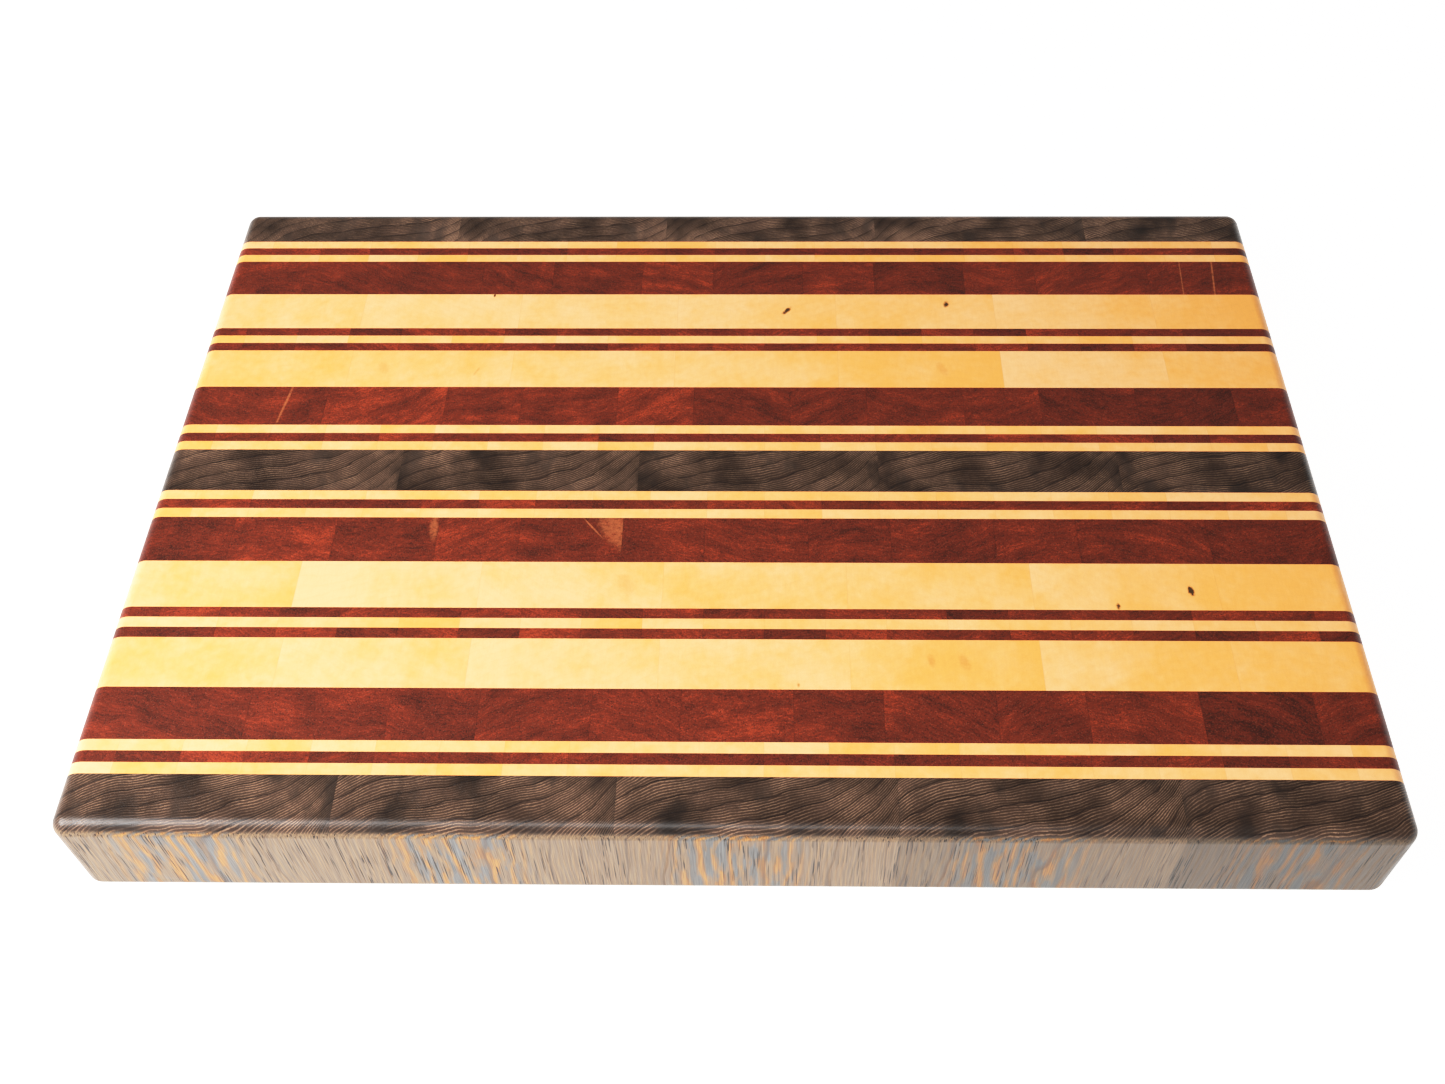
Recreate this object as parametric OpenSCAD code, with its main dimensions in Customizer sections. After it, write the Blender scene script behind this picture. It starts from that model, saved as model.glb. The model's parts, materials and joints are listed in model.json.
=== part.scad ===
// End-grain cutting board: straight rows of end-grain blocks in wenge, maple and padauk, glued side by side.
// The fibres stand upright, along Z, in every block. Millimetres, +Z up.
// The origin is the centre of the underside. X runs along the rows, and Y from the front edge to the back.

/* [Board] */
// Length of the board, along the rows
board_length = 508; // [320:1:700]
// Thickness, from the resting face to the work face
board_thickness = 50.8; // [30:0.1:80]
// Radius of the roundover on every outer edge and corner
edge_radius = 6.35; // [2:0.05:10]

/* [Rows] */
// Width of a wide row, front to back
wide_row = 23.2; // [16:0.1:40]
// Width of a thin row, front to back
thin_row = 4.9; // [3:0.1:12]

/* [Blocks] */
// Length of a wenge block along its row
wenge_block = 105.5; // [60:0.5:150]
// Length of a block in a wide maple row
maple_block = 76.2; // [40:0.1:120]
// Length of the longer blocks in a wide padauk row
padauk_long_block = 44; // [36:1:60]
// Length of the shorter blocks in a wide padauk row
padauk_short_block = 35; // [25:1:35]
// Length of a block in a thin row
strip_block = 24.8; // [20:0.1:40]
// Thickness of the glue film between two blocks of one row
glue_film = 0.1; // [0.05:0.01:0.3]

/* [Hidden] */
$fn = 64;

// Rows from the front edge to the back, named for their timber and their width
MAPLE_TRIO = ["maple_strip", "padauk_strip", "maple_strip"];
PADAUK_TRIO = ["padauk_strip", "maple_strip", "padauk_strip"];
FIELD = concat(MAPLE_TRIO, ["padauk_row", "maple_row"], PADAUK_TRIO, ["maple_row", "padauk_row"], MAPLE_TRIO);
ROWS = concat(["wenge_row"], FIELD, ["wenge_row"], FIELD, ["wenge_row"]);
LAST_ROW = len(ROWS) - 1;

// Rows of one kind are numbered from the front edge
function row_number(i) = len([for (j = [0 : i]) if (ROWS[j] == ROWS[i]) j]);
function row_name(i) = str(ROWS[i], "_", row_number(i));

function is_strip(kind) = kind == "maple_strip" || kind == "padauk_strip";
function row_width(i) = is_strip(ROWS[i]) ? thin_row : wide_row;

// Distance from the front edge of the board to the front of row i
function row_start(i) = i == 0 ? 0 : row_start(i - 1) + row_width(i - 1);
board_depth = row_start(LAST_ROW) + row_width(LAST_ROW);

// An end block is never shorter than this, so that it holds the whole roundover
SHORTEST_BLOCK = 12;

// Each kind of row is glued up from a repeating run of blocks, a little longer than the board.
// Its first block and the blocks after it:
first_maple_block = maple_block - 4.2;
first_padauk_block = 65;
PADAUK_PAIR = [padauk_short_block, padauk_long_block];
PADAUK_RUN = concat([55], PADAUK_PAIR, PADAUK_PAIR, PADAUK_PAIR, PADAUK_PAIR, [padauk_long_block]);

// How far a row turned end for end is slid along before it is trimmed, so that its joints are staggered
WENGE_SLIDE = 25;
PADAUK_SLIDE = 11;

// Joints of a run, from the left end of the board up to a given length
function run_joints(first, blocks, limit, k = 0) =
    first > limit ? [] : concat([first], run_joints(first + blocks[k % len(blocks)], blocks, limit, k + 1));

function turned(joints, slide) =
    [for (k = [len(joints) - 1 : -1 : 0]) board_length + slide - joints[k]];

function trimmed(joints) =
    [for (j = joints) if (j >= SHORTEST_BLOCK && j <= board_length - SHORTEST_BLOCK) j];

// The strips of a thin row are centred on the board, with two equal blocks at the ends
strip_count = floor((board_length - 2 * SHORTEST_BLOCK) / strip_block);
first_strip_block = (board_length - strip_count * strip_block) / 2;

WENGE_JOINTS = run_joints(wenge_block, [wenge_block], board_length + WENGE_SLIDE);
PADAUK_JOINTS = run_joints(first_padauk_block, PADAUK_RUN, board_length + PADAUK_SLIDE);

// The back wenge row and every second wide padauk row are turned end for end
function row_joints(kind, number) =
    kind == "wenge_row" ? trimmed(number == 3 ? turned(WENGE_JOINTS, WENGE_SLIDE) : WENGE_JOINTS)
    : kind == "padauk_row" ? trimmed(number % 2 == 0 ? turned(PADAUK_JOINTS, PADAUK_SLIDE) : PADAUK_JOINTS)
    : kind == "maple_row" ? trimmed(run_joints(first_maple_block, [maple_block], board_length))
    : trimmed(run_joints(first_strip_block, [strip_block], board_length));

function timber_colour(kind) =
    kind == "wenge_row" ? "#4b3a30"
    : kind == "padauk_row" || kind == "padauk_strip" ? "#8c3020"
    : "#f2dba6";

// Half of a rounded slab's edge: X runs outwards from the flat faces, Y is height
module rim_section() {
    intersection() {
        square([edge_radius, board_thickness]);
        union() {
            translate([0, edge_radius]) square([edge_radius, board_thickness - 2 * edge_radius]);
            for (height = [edge_radius, board_thickness - edge_radius])
                translate([0, height]) circle(r = edge_radius);
        }
    }
}

// Rim along +X that faces +Y
module straight_rim(length) {
    rotate([90, 0, 90]) linear_extrude(height = length) rim_section();
}

// Rim around the corner between +X and +Y
module corner_rim() {
    rotate_extrude(angle = 90) rim_section();
}

// One end-grain block between two corners of its footprint, rounded on the sides that are on the board's outline
module block(low, high, on_left, on_right, on_front, on_back) {
    left = low.x + (on_left ? edge_radius : 0);
    right = high.x - (on_right ? edge_radius : 0);
    front = low.y + (on_front ? edge_radius : 0);
    back = high.y - (on_back ? edge_radius : 0);
    translate([left, front, 0]) cube([right - left, back - front, board_thickness]);
    if (on_back) translate([left, back, 0]) straight_rim(right - left);
    if (on_left) translate([left, front, 0]) rotate(90) straight_rim(back - front);
    if (on_front) translate([right, front, 0]) rotate(180) straight_rim(right - left);
    if (on_right) translate([right, back, 0]) rotate(270) straight_rim(back - front);
    if (on_right && on_back) translate([right, back, 0]) corner_rim();
    if (on_left && on_back) translate([left, back, 0]) rotate(90) corner_rim();
    if (on_left && on_front) translate([left, front, 0]) rotate(180) corner_rim();
    if (on_right && on_front) translate([right, front, 0]) rotate(270) corner_rim();
}

// A row of separate blocks with the glue film between them
module row(i) {
    joints = row_joints(ROWS[i], row_number(i));
    starts = concat([0], [for (j = joints) j + glue_film / 2]);
    ends = concat([for (j = joints) j - glue_film / 2], [board_length]);
    front = row_start(i) - board_depth / 2;
    color(timber_colour(ROWS[i]))
        for (k = [0 : len(starts) - 1])
            block(
                [starts[k] - board_length / 2, front],
                [ends[k] - board_length / 2, front + row_width(i)],
                on_left = k == 0,
                on_right = k == len(starts) - 1,
                on_front = i == 0,
                on_back = i == LAST_ROW
            );
}

for (i = [0 : LAST_ROW])
    row(i);
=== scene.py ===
"""The looks of an end-grain cutting board: 29 glued rows of wenge, maple and padauk blocks.

Each CAD row is replaced by a finer mesh of the same blocks, which carries each block's own wood
coordinates. The three timbers are solid textures: growth bands across the block, stretched along the
upright fibres, so the same figure shows as end grain on the two faces and as long grain on the edges.
"""

import json
import math
import random

import bmesh
import bpy
from mathutils import Matrix, Vector


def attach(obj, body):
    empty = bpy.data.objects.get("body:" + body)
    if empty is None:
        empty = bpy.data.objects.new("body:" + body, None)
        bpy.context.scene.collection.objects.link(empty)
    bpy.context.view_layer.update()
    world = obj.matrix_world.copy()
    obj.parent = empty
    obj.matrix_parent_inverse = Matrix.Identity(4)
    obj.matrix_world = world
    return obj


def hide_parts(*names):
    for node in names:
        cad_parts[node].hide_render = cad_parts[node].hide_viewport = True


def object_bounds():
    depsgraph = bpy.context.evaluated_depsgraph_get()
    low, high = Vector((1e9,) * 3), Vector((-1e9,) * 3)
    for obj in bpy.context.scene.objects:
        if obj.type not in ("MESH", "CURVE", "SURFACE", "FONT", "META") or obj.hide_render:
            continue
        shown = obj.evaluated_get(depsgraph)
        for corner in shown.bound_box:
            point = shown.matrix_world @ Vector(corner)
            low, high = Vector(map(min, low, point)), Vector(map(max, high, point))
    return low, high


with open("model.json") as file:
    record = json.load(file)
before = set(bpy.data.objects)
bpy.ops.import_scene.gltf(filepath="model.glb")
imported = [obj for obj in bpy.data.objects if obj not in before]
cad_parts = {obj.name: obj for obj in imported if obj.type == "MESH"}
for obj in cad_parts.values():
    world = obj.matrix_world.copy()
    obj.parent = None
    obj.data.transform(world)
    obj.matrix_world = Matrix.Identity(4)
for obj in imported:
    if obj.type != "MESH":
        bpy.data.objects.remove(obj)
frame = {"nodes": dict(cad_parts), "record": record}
cad_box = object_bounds()

MM = 0.001
BOARD_LOW, BOARD_HIGH = cad_box

# The roundover of the board's outer edges and corners, and the steps it is drawn in
EDGE_RADIUS = 6.35 * MM
RIM_STEPS = 10

# Nearer than this, two points of the CAD, or two vertices of a new block, are one
SAME_PLACE = 1e-6
SAME_VERTEX = 1e-8

# An edge that turns by this much or more is drawn sharp
SHARP_ANGLE = math.radians(35)

# The distance to the nearest joint that is given to an outer side, which has none
FAR_FROM_JOINT = 100.0

# Row kinds whose blocks are turned end for end, by row number
TURNED_ROWS = {"wenge_row": (3,), "padauk_row": (2, 4)}

# The vectors that each vertex carries: its place in its block, its distances to the glued sides, and
# its block's seed, tone and two marks. For wenge, the tone is the painted shade of the long grain and the
# paleness of the end grain
VERTEX_LAYERS = (
    "own", "near_low", "near_high", "seed", "tone",
    "mark_at", "mark_size", "mark2_at", "mark2_size",
)


# ---------------------------------------------------------------- blocks

class Block:
    """One wooden block of a row: its box, which of its sides are on the board's outline, and its grain."""

    def __init__(self, row, number, low, high):
        self.row = row
        self.number = number
        self.low, self.high = low, high
        self.on_left = abs(low.x - BOARD_LOW.x) < SAME_PLACE
        self.on_right = abs(high.x - BOARD_HIGH.x) < SAME_PLACE
        self.on_front = abs(low.y - BOARD_LOW.y) < SAME_PLACE
        self.on_back = abs(high.y - BOARD_HIGH.y) < SAME_PLACE
        self.kind, row_number = row.rsplit("_", 1)
        self.row_number = int(row_number)
        self.turned = self.row_number in TURNED_ROWS.get(self.kind, ())

    def own(self, point):
        """A point in the block's own frame, in millimetres: along the row, across it, and up the fibres."""
        if self.turned:
            return (
                (self.high.x - point.x) / MM,
                (self.high.y - point.y) / MM,
                (point.z - self.low.z) / MM,
            )
        return tuple((point - self.low) / MM)

    def near_joints(self, point):
        """Distances in millimetres to the glued sides at the left and front, and at the right and back."""
        left = FAR_FROM_JOINT if self.on_left else (point.x - self.low.x) / MM
        right = FAR_FROM_JOINT if self.on_right else (self.high.x - point.x) / MM
        front = FAR_FROM_JOINT if self.on_front else (point.y - self.low.y) / MM
        back = FAR_FROM_JOINT if self.on_back else (self.high.y - point.y) / MM
        return (left, front, 0), (right, back, 0)


def blocks_of(row):
    """The separate solids of a CAD row, from left to right."""
    mesh = bmesh.new()
    mesh.from_mesh(frame["nodes"][row].data)
    bmesh.ops.remove_doubles(mesh, verts=mesh.verts, dist=SAME_PLACE)
    waiting, found = set(mesh.verts), []
    while waiting:
        island, edge = set(), [waiting.pop()]
        while edge:
            vert = edge.pop()
            island.add(vert)
            for link in vert.link_edges:
                other = link.other_vert(vert)
                if other in waiting:
                    waiting.discard(other)
                    edge.append(other)
        low = Vector([min(v.co[axis] for v in island) for axis in range(3)])
        high = Vector([max(v.co[axis] for v in island) for axis in range(3)])
        found.append((low, high))
    mesh.free()
    found.sort(key=lambda box: box[0].x)
    for (_, left_high), (right_low, _) in zip(found, found[1:]):
        # The glue film is shared between its two blocks
        left_high.x = right_low.x = (left_high.x + right_low.x) / 2
    return [Block(row, number, low, high) for number, (low, high) in enumerate(found)]


def outline(block, inset):
    """The block's footprint, anticlockwise, with its outer sides moved in and its outer corners round."""
    left = block.low.x + (inset if block.on_left else 0)
    right = block.high.x - (inset if block.on_right else 0)
    front = block.low.y + (inset if block.on_front else 0)
    back = block.high.y - (inset if block.on_back else 0)
    # Each corner, the angle at which its quarter turn starts, and whether it is round
    corners = (
        (left, front, 180, block.on_left and block.on_front),
        (right, front, 270, block.on_right and block.on_front),
        (right, back, 0, block.on_right and block.on_back),
        (left, back, 90, block.on_left and block.on_back),
    )
    radius = EDGE_RADIUS - inset
    points = []
    for x, y, start, is_round in corners:
        if not is_round:
            points.append((x, y))
            continue
        centre_x = x + (radius if start in (180, 90) else -radius)
        centre_y = y + (radius if start in (180, 270) else -radius)
        for step in range(RIM_STEPS + 1):
            angle = math.radians(start + 90 * step / RIM_STEPS)
            points.append((centre_x + radius * math.cos(angle), centre_y + radius * math.sin(angle)))
    return points


def levels(block):
    """(height, inset) of each ring of the block, from the underside up."""
    low, high = block.low.z, block.high.z
    if not (block.on_left or block.on_right or block.on_front or block.on_back):
        return [(low, 0), (high, 0)]
    quarter = [math.radians(90 * step / RIM_STEPS) for step in range(RIM_STEPS + 1)]
    curve = [(EDGE_RADIUS * (1 - math.sin(a)), EDGE_RADIUS * (1 - math.cos(a))) for a in quarter]
    bottom = [(low + height, inset) for height, inset in reversed(curve)]
    top = [(high - height, inset) for height, inset in curve]
    return bottom + top


def add_block(mesh, block):
    """Lofts the block's rings into the mesh and returns its vertices."""
    rings = [
        [mesh.verts.new((x, y, height)) for x, y in outline(block, inset)]
        for height, inset in levels(block)
    ]
    for lower, upper in zip(rings, rings[1:]):
        for k in range(len(lower)):
            following = (k + 1) % len(lower)
            mesh.faces.new((lower[k], lower[following], upper[following], upper[k]))
    mesh.faces.new(list(reversed(rings[0])))
    mesh.faces.new(rings[-1])
    verts = [vert for ring in rings for vert in ring]
    bmesh.ops.remove_doubles(mesh, verts=verts, dist=SAME_VERTEX)
    return [vert for vert in verts if vert.is_valid]


def row_mesh(row, blocks, figure):
    """One mesh of a row's blocks. figure(block) gives the block's seed, tone and two marks."""
    mesh = bmesh.new()
    layers = {name: mesh.verts.layers.float_vector.new(name) for name in VERTEX_LAYERS}
    for block in blocks:
        constants = figure(block)
        for vert in add_block(mesh, block):
            vert[layers["own"]] = block.own(vert.co)
            vert[layers["near_low"]], vert[layers["near_high"]] = block.near_joints(vert.co)
            for name, value in constants.items():
                vert[layers[name]] = value
    bmesh.ops.recalc_face_normals(mesh, faces=mesh.faces)
    for face in mesh.faces:
        face.smooth = True
    for edge in mesh.edges:
        edge.smooth = len(edge.link_faces) == 2 and edge.calc_face_angle() < SHARP_ANGLE
    data = bpy.data.meshes.new(row)
    mesh.to_mesh(data)
    mesh.free()
    return data


# ---------------------------------------------------------------- material graphs

# Distances up the fibres count for this share of themselves, so that all figure is drawn out along them
FIBRE_SHARE = 0.07

COAT_ROUGHNESS = 0.2
SPECULAR_LEVEL = 0.35


class Graph:
    """Builds one material. Most methods take sockets or plain numbers, and return an output socket."""

    def __init__(self, name):
        self.material = bpy.data.materials.new(name)
        self.material.use_nodes = True
        self.tree = self.material.node_tree
        self.tree.nodes.clear()

    def node(self, kind, inputs=(), **settings):
        made = self.tree.nodes.new(kind)
        for key, value in settings.items():
            setattr(made, key, value)
        for key, value in dict(inputs).items():
            self.feed(made.inputs[key], value)
        return made

    def feed(self, socket, value):
        if isinstance(value, bpy.types.NodeSocket):
            self.tree.links.new(value, socket)
        elif socket.type == "RGBA" and len(value) == 3:
            socket.default_value = (*value, 1)
        else:
            socket.default_value = value

    def attribute(self, name):
        return self.node("ShaderNodeAttribute", attribute_name=name).outputs["Vector"]

    def math(self, operation, *values):
        return self.node("ShaderNodeMath", dict(enumerate(values)), operation=operation).outputs[0]

    def add(self, a, b):
        return self.math("ADD", a, b)

    def times(self, a, b):
        return self.math("MULTIPLY", a, b)

    def at_least(self, floor, share):
        """A share from 0 to 1, squeezed to run from floor to 1."""
        return self.add(floor, self.times(share, 1 - floor))

    def vector(self, operation, a, b):
        return self.node("ShaderNodeVectorMath", {0: a, 1: b}, operation=operation).outputs[0]

    def split(self, vector):
        return self.node("ShaderNodeSeparateXYZ", {0: vector}).outputs[:3]

    def join(self, x, y, z):
        return self.node("ShaderNodeCombineXYZ", {0: x, 1: y, 2: z}).outputs[0]

    def along_fibres(self, place, share):
        """A place in which distances up the fibres count for the given share of themselves."""
        return self.vector("MULTIPLY", place, (1.0, 1.0, share))

    def grain(self):
        """The block's own place, its seed, and the place in the timber that its figure is taken from."""
        own, seed = self.attribute("own"), self.attribute("seed")
        return own, seed, self.vector("ADD", self.along_fibres(own, FIBRE_SHARE), seed)

    def noise(self, place, size, detail=2.0, roughness=0.5):
        """Noise about 0, from about -0.5 to 0.5, with features of the given size in millimetres."""
        made = self.node(
            "ShaderNodeTexNoise",
            {"Vector": place, "Scale": 1 / size, "Detail": detail, "Roughness": roughness},
        )
        return self.math("SUBTRACT", made.outputs[0], 0.5)

    def waver(self, place, size, by, detail=2.0):
        """Noise of the given size, times a number."""
        return self.times(self.noise(place, size, detail), by)

    def spots(self, place, size):
        """Distance to the nearest of scattered points, as a share of their spacing."""
        made = self.node("ShaderNodeTexVoronoi", {"Vector": place, "Scale": 1 / size})
        return made.outputs["Distance"]

    def ramp(self, value, low, high):
        """0 below low, 1 above high, smooth between. low may be above high."""
        made = self.node(
            "ShaderNodeMapRange",
            {"Value": value, "From Min": low, "From Max": high},
            interpolation_type="SMOOTHSTEP",
        )
        return made.outputs[0]

    def blend(self, share, a, b):
        """Colour a, turning into colour b."""
        made = self.node("ShaderNodeMix", data_type="RGBA")
        self.feed(made.inputs[0], share)
        self.feed(made.inputs[6], a)
        self.feed(made.inputs[7], b)
        return made.outputs[2]

    def cover(self, colour, tint, where, opacity):
        """A colour with a tint laid over it. where is the tint's share, and opacity scales it."""
        return self.blend(self.times(where, opacity), colour, tint)

    def shade(self, colour, factor):
        """A colour times a number."""
        grey = self.join(factor, factor, factor)
        return self.vector("MULTIPLY", colour, grey)

    def output(self, surface):
        """Ends the material with its surface."""
        output = self.node("ShaderNodeOutputMaterial")
        self.tree.links.new(surface.outputs[0], output.inputs[0])
        return self.material

    def finish(self, colour, roughness, height, bump_mm, coat):
        """The surface: an oiled wood with its relief."""
        bump = self.node(
            "ShaderNodeBump", {"Height": height, "Distance": bump_mm * MM, "Strength": 1.0}
        )
        surface = self.node(
            "ShaderNodeBsdfPrincipled",
            {
                "Base Color": colour,
                "Roughness": roughness,
                "Normal": bump.outputs[0],
                "Coat Weight": coat,
                "Coat Roughness": COAT_ROUGHNESS,
                "Specular IOR Level": SPECULAR_LEVEL,
            },
        )
        return self.output(surface)


# The glue line, in millimetres from the glued side: where it is full, where it is gone, and how far it
# strays in waves of a given size
GLUE_FULL = 0.04
GLUE_GONE = 0.20
GLUE_STRAY = 0.15
GLUE_WAVES = 2.0

# A mark goes by the square of the distance from its middle, as a share of its own size, which noise makes
# ragged: where it is full, where it is gone, and the noise's size in millimetres and its depth
MARK_FULL = -0.2
MARK_GONE = 2.2
RAGGED_SIZE = 1.3
RAGGED_DEPTH = 2.2


def glue_line(g, place, strength):
    """The given strength on the thin dark line along each glued side, and 0 elsewhere."""
    low_x, low_y, _ = g.split(g.attribute("near_low"))
    high_x, high_y, _ = g.split(g.attribute("near_high"))
    nearest_end = g.math("MINIMUM", low_x, high_x)
    nearest_side = g.math("MINIMUM", low_y, high_y)
    nearest = g.math("MINIMUM", nearest_end, nearest_side)
    wandering = g.add(nearest, g.waver(place, GLUE_WAVES, by=GLUE_STRAY))
    return g.times(g.ramp(wandering, GLUE_GONE, GLUE_FULL), strength)


def mark(g, at, size):
    """One of the block's own marks: its strength at the middle, fading to 0 at a ragged rim.

    at names the layer with its place and angle, and size the one with its half length, half width
    and strength.
    """
    x, y, angle = g.split(g.attribute(at))
    length, width, strength = g.split(g.attribute(size))
    own = g.attribute("own")
    u, v, _ = g.split(own)
    across = g.math("SUBTRACT", u, x)
    up = g.math("SUBTRACT", v, y)
    cosine, sine = g.math("COSINE", angle), g.math("SINE", angle)
    along = g.add(g.times(across, cosine), g.times(up, sine))
    aside = g.math("SUBTRACT", g.times(up, cosine), g.times(across, sine))
    along, aside = g.math("DIVIDE", along, length), g.math("DIVIDE", aside, width)
    squared = g.add(g.times(along, along), g.times(aside, aside))
    ragged = g.add(squared, g.waver(own, RAGGED_SIZE, by=RAGGED_DEPTH, detail=3.0))
    return g.times(g.ramp(ragged, MARK_GONE, MARK_FULL), strength)


def marks(g):
    """Both of the block's marks."""
    return g.math("MAXIMUM", mark(g, "mark_at", "mark_size"), mark(g, "mark2_at", "mark2_size"))


def end_share(g, low, high):
    """1 where the surface cuts across the fibres, and 0 where it runs along them.

    low and high are the upright part of the surface's normal, where the change starts and ends.
    """
    normal = g.node("ShaderNodeTexCoord").outputs["Normal"]
    return g.ramp(g.math("ABSOLUTE", g.split(normal)[2]), low, high)


# ---------------------------------------------------------------- wenge

# Colours are linear RGB. A pair runs from the darker one to the paler one.
WENGE = {
    "bands": ((0.054, 0.031, 0.022), (0.242, 0.149, 0.095)),
    "late_wood": (0.036, 0.021, 0.014),
    "smoke": (0.032, 0.023, 0.018),
    "growth_ring": (0.012, 0.007, 0.006),
    "pore": (0.015, 0.009, 0.007),
    "long_grain": ((0.145, 0.095, 0.060), (0.250, 0.168, 0.101)),
    "orange_figure": ((0.180, 0.078, 0.028), (0.420, 0.198, 0.060)),
    "blue_figure": ((0.085, 0.088, 0.090), (0.160, 0.165, 0.168)),
    "long_pore": (0.020, 0.010, 0.006),
    "long_growth_ring": (0.06, 0.030, 0.019),
    "glue": (0.015, 0.010, 0.008),
}

# Millimetres from one pale band to the next, and from one growth ring to the next
WENGE_BANDS = 1.12
WENGE_RINGS = 7.6

# The arcs of the bands: where along the block they lie level, a distance from there, how steep they are
# at that distance, and the slope of the arc as a whole
ARC_MIDDLE = 45.0
ARC_REACH = 55
ARC_STEEPEST = 0.95
ARC_SLOPE = 0.12


def wenge_level(g, place, drifting, u, v):
    """How far across the growth bands a point lies, in millimetres, and how steep the bands are there.

    The block is plain-sawn: its bands are steep at its two sides and level in the middle.
    """
    offset = g.math("SUBTRACT", u, ARC_MIDDLE)
    steepness = g.times(g.times(offset, offset), ARC_STEEPEST / ARC_REACH ** 2)
    rise = g.add(g.times(g.times(steepness, offset), 1 / 3), g.times(u, ARC_SLOPE))
    level = g.math("SUBTRACT", v, rise)
    level = g.add(level, g.add(g.waver(place, 30.0, by=5.0), g.waver(place, 6.0, by=0.3)))
    level = g.add(level, g.waver(drifting, 26.0, by=6.0))
    return level, steepness


def wenge_bands(g, place, level, u, w):
    """The wave of the fine pale bands of parenchyma, and the bands, uneven in spacing and broken."""
    spacing = g.add(g.math("DIVIDE", level, WENGE_BANDS), g.waver(place, 2.0, by=0.35, detail=1.0))
    wave = g.math("SINE", g.times(spacing, math.tau))
    streak = g.noise(g.join(g.times(u, 0.3), level, g.times(w, 0.05)), 0.5)
    band = g.ramp(g.add(wave, g.times(streak, 1.3)), 0.1, 1.0)
    broken = g.ramp(g.noise(place, 0.9), -0.16, 0.06)
    return wave, g.times(band, g.at_least(0.55, broken))


def wenge_end_grain(g, place, band, steepness, ring, ring_line, pores):
    """Pale bands on a dark ground, with late wood, smoky patches, growth rings and pores."""
    _, top_shade, _ = g.split(g.attribute("tone"))
    strength = g.ramp(g.add(g.noise(place, 9.0, detail=3.0), g.times(steepness, 0.12)), -0.16, 0.22)
    smoke_place = g.vector("MULTIPLY", place, (1.0, 0.6, 1.0))
    smoke = g.ramp(g.noise(smoke_place, 13.0, detail=3.0), 0.0, 0.22)
    shown = g.times(g.at_least(0.40, strength), g.math("SUBTRACT", 1.0, g.times(smoke, 0.6)))
    colour = g.blend(g.times(band, shown), *WENGE["bands"])
    colour = g.cover(colour, WENGE["late_wood"], g.ramp(ring, 0.55, 0.0), 0.4)
    colour = g.cover(colour, WENGE["smoke"], smoke, 0.6)
    colour = g.shade(colour, g.times(top_shade, g.add(1.0, g.waver(place, 24.0, by=2.8))))
    colour = g.cover(colour, WENGE["growth_ring"], ring_line, 0.9)
    return g.cover(colour, WENGE["pore"], pores, 0.3)


def wenge_long_pores(g, place):
    """Pores cut lengthwise: dashes, and hairlines among them."""
    dashes = g.ramp(g.spots(g.along_fibres(place, 0.42), 0.9), 0.31, 0.19)
    hairlines = g.ramp(g.noise(g.along_fibres(place, 0.50), 0.6, detail=1.0), 0.12, 0.18)
    return g.math("MAXIMUM", dashes, hairlines)


def wenge_long_grain(g, place, wave, band, steepness, ring_line, long_pores):
    """Narrow stripes where the bands are steep, and broad figure where they lie level, with painted shade
    that darkens the blocks towards the right.
    """
    painted_side_shade, _, _ = g.split(g.attribute("tone"))
    fibres = g.noise(g.along_fibres(place, 0.25), 0.45, detail=3.0, roughness=0.6)
    stripes = g.ramp(g.add(fibres, g.times(g.math("SUBTRACT", band, 0.5), 0.14)), -0.20, 0.20)
    colour = g.blend(stripes, *WENGE["long_grain"])
    patches = g.noise(g.along_fibres(place, 1.6), 3.0, detail=4.0, roughness=0.6)
    patches = g.add(patches, g.times(wave, 0.10))
    level_share = g.at_least(0.12, g.ramp(steepness, 0.30, 0.03))
    orange = g.times(g.ramp(patches, 0.04, 0.12), level_share)
    blue = g.times(g.ramp(patches, -0.04, -0.12), level_share)
    colour = g.cover(colour, g.blend(stripes, *WENGE["orange_figure"]), orange, 0.9)
    colour = g.cover(colour, g.blend(stripes, *WENGE["blue_figure"]), blue, 0.9)
    cluster = g.ramp(g.noise(g.along_fibres(place, 1.5), 6.0), -0.10, 0.08)
    colour = g.cover(colour, WENGE["long_pore"], long_pores, g.at_least(0.12, cluster))
    colour = g.cover(colour, WENGE["long_growth_ring"], ring_line, 0.5)
    # Painted shade: the long grain darkens block by block towards the right, as if the light fell off there
    return g.shade(colour, painted_side_shade)


def wenge():
    """Oiled wenge: dark brown with fine pale bands, and grey-brown along the fibres."""
    g = Graph("oiled_wenge")
    own, seed, place = g.grain()
    u, v, w = g.split(own)
    drifting = g.vector("ADD", g.along_fibres(own, 0.45), seed)
    level, steepness = wenge_level(g, place, drifting, u, v)
    wave, band = wenge_bands(g, place, level, u, w)
    ring = g.math("FRACT", g.add(g.math("DIVIDE", level, WENGE_RINGS), g.waver(place, 16.0, by=0.6)))
    ring_line = g.math("MAXIMUM", g.ramp(ring, 0.07, 0.01), g.ramp(ring, 0.975, 1.0))
    pores = g.ramp(g.spots(place, 1.0), 0.30, 0.16)
    long_pores = wenge_long_pores(g, place)

    end_grain = end_share(g, 0.36, 0.64)
    top = wenge_end_grain(g, place, band, steepness, ring, ring_line, pores)
    side = wenge_long_grain(g, place, wave, band, steepness, ring_line, long_pores)
    colour = g.blend(end_grain, side, top)
    colour = g.blend(glue_line(g, place, 0.3), colour, WENGE["glue"])
    relief = g.math("SUBTRACT", g.times(band, 0.6), g.math("MAXIMUM", pores, long_pores))
    roughness = g.add(0.34, g.times(band, 0.12))
    return g.finish(colour, roughness, relief, bump_mm=0.03, coat=g.times(end_grain, 0.2))


# ---------------------------------------------------------------- maple

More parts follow.
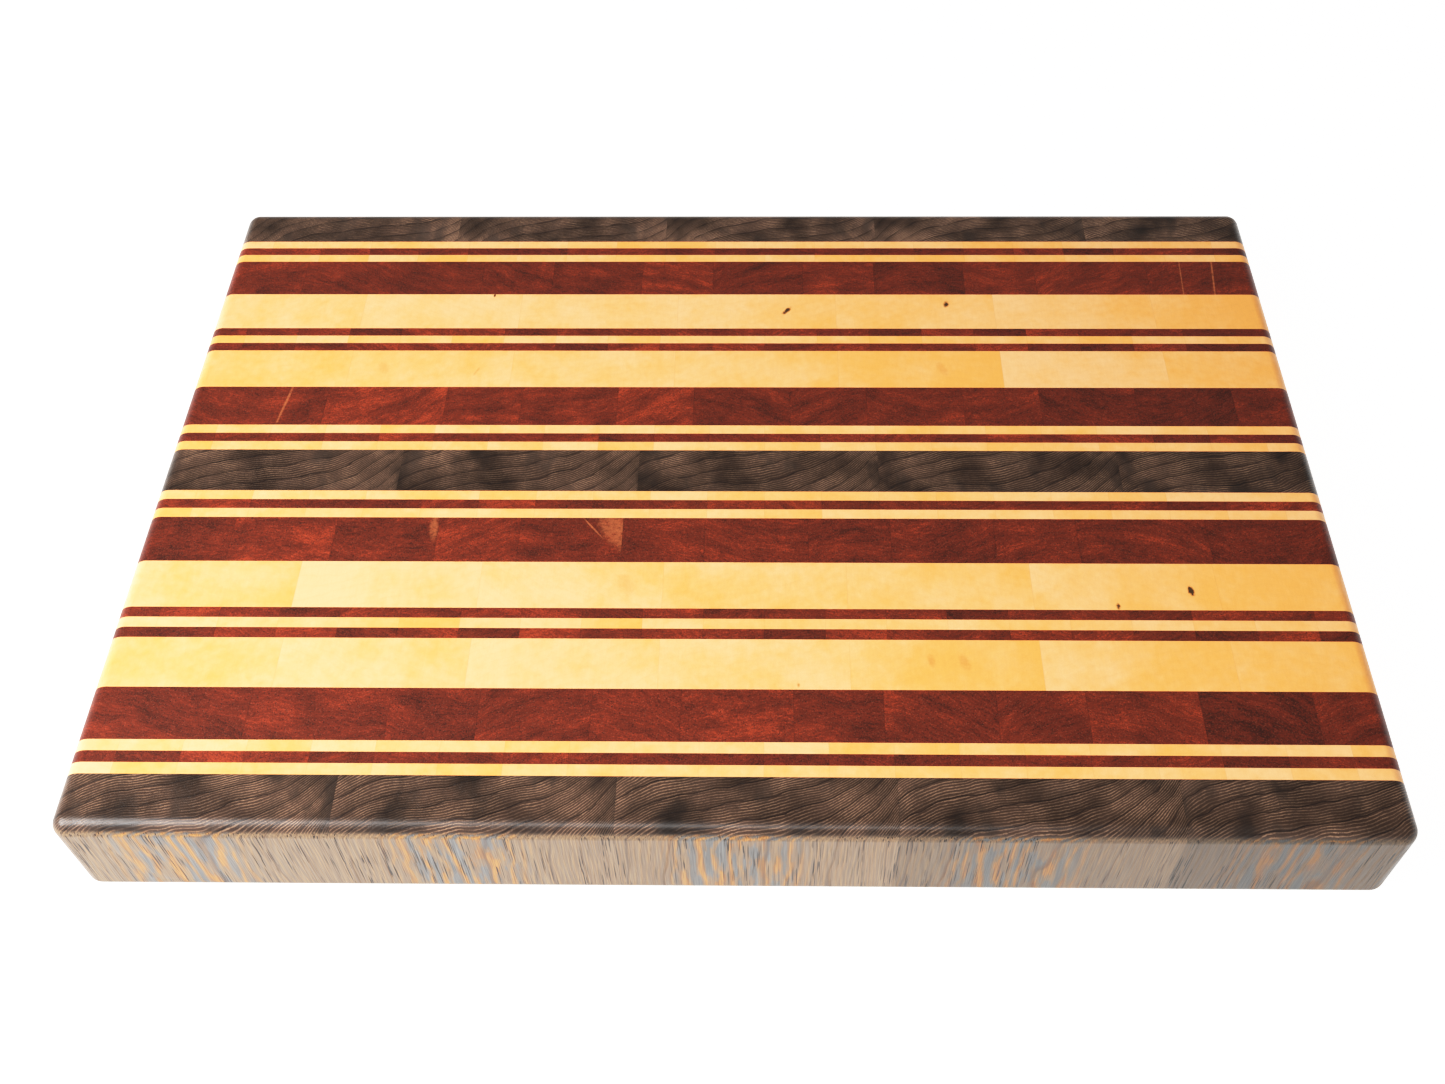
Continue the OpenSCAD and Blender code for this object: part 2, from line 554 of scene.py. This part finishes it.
# Colours are linear RGB. The ground runs from gold to cream, and a stain from its rim to its middle.
MAPLE = {
    "ground": ((0.95, 0.398, 0.104), (0.98, 0.512, 0.242)),
    "growth_ring": (0.60, 0.30, 0.09),
    "fleck": (0.50, 0.27, 0.11),
    "stain": ((0.60, 0.23, 0.055), (0.075, 0.038, 0.016)),
    "glue": (0.30, 0.13, 0.04),
}

# Millimetres from one growth ring to the next
MAPLE_RINGS = 4.6


def maple():
    """Oiled maple: slow clouds of gold and cream, with faint rings, rays and flecks."""
    g = Graph("oiled_maple")
    own, _, place = g.grain()
    u, v, w = g.split(own)
    paleness, gradient, slant = g.split(g.attribute("tone"))

    level = g.add(g.add(v, g.times(u, slant)), g.waver(place, 30.0, by=16.0))
    ring = g.math("FRACT", g.math("DIVIDE", level, MAPLE_RINGS))
    ring_line = g.math("MAXIMUM", g.ramp(ring, 0.10, 0.0), g.ramp(ring, 0.75, 1.0))
    clouds = g.noise(place, 22.0, detail=3.0)
    mottle = g.noise(place, 3.5, detail=3.0)
    pinpricks = g.noise(place, 0.5)
    rays = g.noise(g.join(u, g.times(level, 0.12), g.times(w, 0.07)), 0.55)
    flecks = g.ramp(g.spots(g.vector("MULTIPLY", place, (1.0, 2.0, 1.0)), 1.9), 0.20, 0.10)

    pale = g.add(paleness, g.times(u, gradient))
    pale = g.add(pale, g.add(g.times(clouds, 1.5), g.times(mottle, 0.6)))
    colour = g.blend(g.ramp(pale, -0.15, 1.15), *MAPLE["ground"])
    colour = g.cover(colour, MAPLE["growth_ring"], ring_line, 0.07)
    colour = g.cover(colour, MAPLE["fleck"], flecks, 0.10)
    fine = g.add(g.times(pinpricks, 0.16), g.add(g.times(mottle, 0.07), g.times(rays, 0.12)))
    colour = g.shade(colour, g.add(1.0, fine))
    fibres = g.noise(g.along_fibres(place, 0.6), 0.8, detail=3.0)
    side = g.shade(colour, g.add(0.92, g.times(fibres, 0.22)))
    colour = g.blend(end_share(g, 0.05, 0.6), side, colour)

    stain = marks(g)
    stain_colour = g.blend(g.ramp(stain, 0.45, 0.85), *MAPLE["stain"])
    colour = g.blend(g.ramp(stain, 0.0, 0.85), colour, stain_colour)
    colour = g.blend(glue_line(g, place, 0.16), colour, MAPLE["glue"])
    relief = g.math("SUBTRACT", pinpricks, g.times(flecks, 0.6))
    return g.finish(colour, g.add(0.42, g.times(mottle, 0.1)), relief, bump_mm=0.02, coat=0.12)


# ---------------------------------------------------------------- padauk

# Colours are linear RGB
PADAUK = {
    "dark": (0.040, 0.013, 0.009),
    "middle": (0.150, 0.027, 0.014),
    "bright": (0.44, 0.070, 0.027),
    "pore": (0.025, 0.009, 0.007),
    "pore_fill_and_glint": (0.50, 0.20, 0.12),
    "long_grain": (0.42, 0.085, 0.030),
    "sapwood": (0.44, 0.140, 0.055),
    "glue": (0.025, 0.008, 0.006),
}

# The pale specks are partly filled pores and partly painted highlights of glinting pores. They are
# scattered in another part of the timber than the open ones
PORE_FILLS_AND_GLINTS_AT = (40.0, 7.0, 3.0)

# Where along the block the arc of its bands has its middle, in millimetres
PADAUK_ARC_MIDDLE = 20.0


def padauk_level(g, place, own_slant, own_bend, u, v):
    """How far across the growth bands a point lies. They are arcs, with each block's own slope and bend."""
    offset = g.math("SUBTRACT", u, PADAUK_ARC_MIDDLE)
    arc = g.add(g.times(u, own_slant), g.times(g.times(offset, offset), own_bend))
    return g.add(g.add(v, arc), g.add(g.waver(place, 20.0, by=9.0), g.waver(place, 4.0, by=1.0)))


def padauk():
    """Oiled padauk: red-brown bands and streaks with pores, and pale sapwood in a few blocks."""
    g = Graph("oiled_padauk")
    own, seed, place = g.grain()
    u, v, w = g.split(own)
    brightness, slant, bend = g.split(g.attribute("tone"))

    level = padauk_level(g, place, slant, bend, u, v)
    along_bands = g.vector("ADD", g.join(g.times(u, 0.22), level, g.times(w, 0.05)), seed)
    broad = g.noise(along_bands, 5.0, detail=3.0)
    streaks = g.noise(along_bands, 0.7, roughness=0.6)
    speckle = g.noise(place, 0.55, roughness=0.8)
    blotch = g.noise(place, 13.0, detail=3.0)

    value = g.add(0.2, g.times(brightness, 0.55))
    value = g.add(value, g.add(g.times(broad, 1.1), g.times(blotch, 0.8)))
    value = g.add(value, g.add(g.times(streaks, 1.1), g.times(speckle, 1.7)))
    colour = g.blend(g.ramp(value, -0.35, 0.60), PADAUK["dark"], PADAUK["middle"])
    colour = g.blend(g.ramp(value, 0.45, 1.45), colour, PADAUK["bright"])
    pores = g.ramp(g.spots(place, 1.3), 0.30, 0.16)
    pore_fills_and_glints = g.ramp(g.spots(g.vector("ADD", place, PORE_FILLS_AND_GLINTS_AT), 1.0), 0.30, 0.14)
    colour = g.cover(colour, PADAUK["pore"], pores, 0.5)
    # Pale specks: partly filled pores, and partly painted highlights where the pores glint
    colour = g.cover(colour, PADAUK["pore_fill_and_glint"], pore_fills_and_glints, 0.14)
    fibres = g.noise(g.along_fibres(place, 0.5), 0.9, detail=3.0)
    side = g.blend(0.35, colour, PADAUK["long_grain"])
    side = g.shade(side, g.add(1.0, g.times(fibres, 0.9)))
    colour = g.blend(end_share(g, 0.05, 0.5), side, colour)

    sapwood = g.times(marks(g), g.ramp(g.noise(place, 2.0, detail=3.0), -0.35, 0.05))
    grained = g.add(1.0, g.add(g.times(streaks, 0.8), g.times(speckle, 1.2)))
    colour = g.blend(sapwood, colour, g.shade(PADAUK["sapwood"], grained))
    colour = g.blend(glue_line(g, place, 0.35), colour, PADAUK["glue"])
    relief = g.math("SUBTRACT", g.times(streaks, 0.8), pores)
    return g.finish(colour, g.add(0.45, g.times(streaks, 0.1)), relief, bump_mm=0.03, coat=0.07)


# ---------------------------------------------------------------- figure of each block

# How pale each maple block is, and how bright each padauk block, from left to right
TONES = {
    "maple_row_1": [0.5, 0.65, 0.75, 0.7, 0.2, 0.4, 0.2],
    "maple_row_2": [0.6, 0.85, 0.65, 0.5, 0.45, 0.4, 0.1],
    "maple_row_3": [0.4, 0.45, 0.6, 0.4, 0.1, 0.65, 0.3],
    "maple_row_4": [0.65, 0.7, 0.7, 0.6, 0.5, 0.6, 0.15],
    "padauk_row_1": [0.38, 0.5, 0.35, 0.5, 0.48, 0.65, 0.42, 0.45, 0.4, 0.6, 0.05, 0.35],
    "padauk_row_2": [0.3, 0.7, 0.4, 0.65, 0.35, 0.55, 0.5, 0.3, 0.35, 0.5, 0.4, 0.3],
    "padauk_row_3": [0.4, 0.8, 0.52, 0.47, 0.8, 0.3, 0.4, 0.4, 0.5, 0.25, 0.15, 0.35],
    "padauk_row_4": [0.5, 0.5, 0.25, 0.4, 0.37, 0.75, 0.38, 0.5, 0.25, 0.6, 0.6, 0.5],
}

# The same for the blocks of the thin rows, which are picked at random between two limits
STRIP_TONES = {"maple_strip": (0.25, 0.75), "padauk_strip": (0.1, 0.9)}

# How pale the end grain of each wenge row is; and painted shade on the long grain of its blocks from left
# to right, which darkens the blocks at the right as if the light fell off there. It goes by the block's
# number, so the back edge and the right end are darkened too
TOP_SHADES = {1: 1.0, 2: 1.0, 3: 1.4}
PAINTED_SIDE_SHADES = [1.06, 1.06, 1.00, 0.72, 0.47]

# Limits of what else is picked at random: how maple pales along a block and how its rings slant, and
# the slant and bend of padauk's bands
MAPLE_GRADIENTS = (-0.007, 0.002)
MAPLE_SLANTS = (-0.6, 0.6)
PADAUK_SLANTS = (-0.4, 0.5)
PADAUK_BENDS = (-0.010, 0.010)

# Each block's figure is taken from another place of a timber this large, in millimetres
TIMBER_SIZE = 900
RANDOM_SEED = 20

# Neighbouring wenge blocks are cut one after another from the same board, so that their figure changes
# slowly: the board's place in the timber, and how far it moves up from block to block and row to row
WENGE_BOARD_AT = (300.0, 500.0)
WENGE_BLOCK_STEP = 3.5
WENGE_ROW_STEP = 40

NO_MARKS = {
    "mark_at": (0, 0, 0),
    "mark_size": (1, 1, 0),
    "mark2_at": (0, 0, 0),
    "mark2_size": (1, 1, 0),
}

# Pin knots, stains and sapwood, in millimetres from the left end of the board and the front of the row:
# row, (along, across, angle in degrees, half length, half width, strength)
MARKS = {
    "maple_row_4": [
        (134.5, 22.3, 90, 1.0, 0.6, 0.9),
        (277, 12, 50, 3.0, 1.1, 0.95),
        (354, 16.5, 80, 2.0, 1.3, 0.9),
    ],
    "maple_row_3": [
        (88, 12, 120, 4, 2.5, 0.3),
        (132, 10, 65, 3, 0.6, 0.4),
        (349, 12, 115, 5, 2, 0.32),
    ],
    "maple_row_2": [
        (209, 12, 110, 6, 3, 0.3),
        (442, 9.5, 100, 2.4, 1.3, 0.95),
        (411, 1.8, 90, 1.5, 0.9, 0.8),
    ],
    "maple_row_1": [
        (333, 13.5, 100, 3, 1.4, 0.42),
        (346, 13.0, 110, 4, 2, 0.40),
        (280, 2, 90, 0.9, 0.6, 0.6),
    ],
    "padauk_row_4": [
        (470.5, 11.6, 86, 22, 0.3, 0.6),
        (486, 11.6, 84, 22, 0.4, 0.75),
    ],
    "padauk_row_3": [
        (46.5, 13.5, 82, 15, 0.5, 0.75),
    ],
    "padauk_row_2": [
        (125, 18, 95, 6, 1.6, 0.6),
        (203, 17, -60, 10, 5, 0.65),
        (193, 18, -50, 6, 0.35, 0.8),
    ],
}


def marks_of(block):
    """The block's marks, of which it can hold two."""
    constants = dict(NO_MARKS)
    names = iter(("mark", "mark2"))
    for along, across, angle, length, width, strength in MARKS.get(block.row, ()):
        at = Vector((BOARD_LOW.x + along * MM, block.low.y + across * MM, 0))
        if not block.low.x <= at.x <= block.high.x:
            continue
        u, v, _ = block.own(at)
        name = next(names)
        constants[name + "_at"] = (u, v, math.radians(angle))
        constants[name + "_size"] = (length, width, strength)
    return constants


def figure_of(block, chance):
    """The block's seed, tone and marks."""
    # These are drawn for every block, used or not, so that one row's tones don't change another's
    seed = tuple(chance.uniform(0, TIMBER_SIZE) for _ in range(3))
    loose_tone = chance.uniform(*STRIP_TONES.get(block.kind, (0, 0)))
    base = TONES[block.row][block.number] if block.row in TONES else loose_tone
    if block.kind == "wenge_row":
        up = WENGE_BLOCK_STEP * block.number + WENGE_ROW_STEP * block.row_number
        seed = (*WENGE_BOARD_AT, up)
        # The long grain's painted shade, darker towards the right, and the end grain's paleness
        tone = (PAINTED_SIDE_SHADES[block.number], TOP_SHADES[block.row_number], 0)
    elif block.kind.startswith("maple"):
        gradient = chance.uniform(*MAPLE_GRADIENTS)
        length = (block.high.x - block.low.x) / MM
        tone = (base - gradient * length / 2, gradient, chance.uniform(*MAPLE_SLANTS))
    else:
        tone = (base, chance.uniform(*PADAUK_SLANTS), chance.uniform(*PADAUK_BENDS))
    return {**marks_of(block), "seed": seed, "tone": tone}


# ---------------------------------------------------------------- the board

def build_board():
    """Replaces each CAD row by its blocks."""
    timbers = {"wenge": wenge(), "maple": maple(), "padauk": padauk()}
    chance = random.Random(RANDOM_SEED)
    for subpart in frame["record"]["subparts"]:
        row, slot = subpart["node"], subpart["material_slot"]
        data = row_mesh(row, blocks_of(row), lambda block: figure_of(block, chance))
        data.materials.append(timbers[slot])
        piece = bpy.data.objects.new(row + "_blocks", data)
        bpy.context.scene.collection.objects.link(piece)
        shading = piece.modifiers.new("flat faces stay flat", "WEIGHTED_NORMAL")
        shading.keep_sharp = True
        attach(piece, "root")
        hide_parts(row)


# ---------------------------------------------------------------- floor, light and camera

# In metres. The floor lies just under the board, so that the two don't coincide.
FLOOR_SIZE = 40
FLOOR_GAP = 0.1 * MM
FLOOR_LOOK = {
    "Base Color": (0.40, 0.40, 0.40),
    "Roughness": 0.9,
    "Emission Color": (1.0, 0.99, 0.97),
    "Emission Strength": 1.25,
}


def build_floor():
    """A pale floor, bright enough to be the photo's white ground."""
    bpy.ops.mesh.primitive_plane_add(size=FLOOR_SIZE, location=(0, 0, BOARD_LOW.z - FLOOR_GAP))
    floor = bpy.context.object
    floor.name = "floor"
    g = Graph("pale_floor")
    floor.data.materials.append(g.output(g.node("ShaderNodeBsdfPrincipled", FLOOR_LOOK)))


# Softboxes: where each stands, what it points at, its width and height in metres, and its watts
SOFTBOXES = {
    "key_front_left": ((-0.85, -0.55, 0.75), (0, 0, 0), 0.6, 0.6, 20),
    "overhead": ((-0.32, -0.50, 0.93), (-0.1, -0.1, 0), 1.2, 0.28, 7),
}

# The surroundings: the sine of the height where the walls start to dim, where the ceiling is reached,
# and how bright the walls and the ceiling are
WALLS_END = 0.1
CEILING_STARTS = 0.45
WALL_STRENGTH = 1.1
CEILING_STRENGTH = 0.17


def add_softbox(name, location, target, width, height, power):
    light = bpy.data.lights.new(name, "AREA")
    light.shape = "RECTANGLE"
    light.size, light.size_y = width, height
    light.energy = power
    lamp = bpy.data.objects.new(name, light)
    lamp.location = location
    aim = Vector(target) - Vector(location)
    lamp.rotation_euler = aim.to_track_quat("-Z", "Y").to_euler()
    bpy.context.scene.collection.objects.link(lamp)


def build_light():
    """White walls round the table, a dim ceiling, and two softboxes."""
    world = bpy.data.worlds.new("studio")
    world.use_nodes = True
    nodes, links = world.node_tree.nodes, world.node_tree.links
    place = nodes.new("ShaderNodeTexCoord")
    height = nodes.new("ShaderNodeSeparateXYZ")
    strength = nodes.new("ShaderNodeMapRange")
    strength.interpolation_type = "SMOOTHSTEP"
    strength.inputs["From Min"].default_value = WALLS_END
    strength.inputs["From Max"].default_value = CEILING_STARTS
    strength.inputs["To Min"].default_value = WALL_STRENGTH
    strength.inputs["To Max"].default_value = CEILING_STRENGTH
    links.new(place.outputs["Generated"], height.inputs[0])
    links.new(height.outputs["Z"], strength.inputs["Value"])
    links.new(strength.outputs[0], nodes["Background"].inputs["Strength"])
    nodes["Background"].inputs["Color"].default_value = (1, 1, 1, 1)
    bpy.context.scene.world = world
    for name, softbox in SOFTBOXES.items():
        add_softbox(name, *softbox)


# Light in the scene, and how bright the picture shows it
TONE_CURVE = [
    (0.05, 0.034),
    (0.2, 0.185),
    (0.35, 0.375),
    (0.5, 0.555),
    (0.8, 0.81),
    (1.0, 0.91),
    (1.3, 0.985),
]
WHITE = 1.5

# The curve mapping's own order: red, green, blue, and then the one for all three
ALL_CHANNELS = 3


def set_tones():
    """A print's tone curve: a short toe, and a shoulder that keeps the pale wood from bleaching."""
    view = bpy.context.scene.view_settings
    view.view_transform = "Standard"
    view.use_curve_mapping = True
    mapping = view.curve_mapping
    mapping.white_level = (WHITE, WHITE, WHITE)
    for light, shown in TONE_CURVE:
        mapping.curves[ALL_CHANNELS].points.new(light / WHITE, shown)
    mapping.update()


# The camera: its place in metres, its angles in degrees, and its lens and sensor in millimetres
CAMERA_PLACE = (0.0124, -0.4136, 0.5610)
CAMERA_DOWN = 50.33
CAMERA_TURN = 1.392
CAMERA_ROLL = 0.951
LENS = 37.17
SENSOR_WIDTH = 36
LENS_SHIFT = (-0.01306, -0.06073)
NEAREST_SEEN = 0.01


def build_camera():
    """The photo's point of view, with its shift."""
    data = bpy.data.cameras.new("camera")
    data.sensor_fit = "HORIZONTAL"
    data.sensor_width = SENSOR_WIDTH
    data.lens = LENS
    data.shift_x, data.shift_y = LENS_SHIFT
    data.clip_start = NEAREST_SEEN
    camera = bpy.data.objects.new("camera", data)
    turn = Matrix.Rotation(math.radians(CAMERA_TURN), 4, "Z")
    tilt = Matrix.Rotation(math.pi / 2 - math.radians(CAMERA_DOWN), 4, "X")
    roll = Matrix.Rotation(-math.radians(CAMERA_ROLL), 4, "Z")
    camera.matrix_world = Matrix.Translation(CAMERA_PLACE) @ (turn @ tilt @ roll)
    bpy.context.scene.collection.objects.link(camera)
    bpy.context.scene.camera = camera


build_camera()
build_board()
build_floor()
build_light()
set_tones()
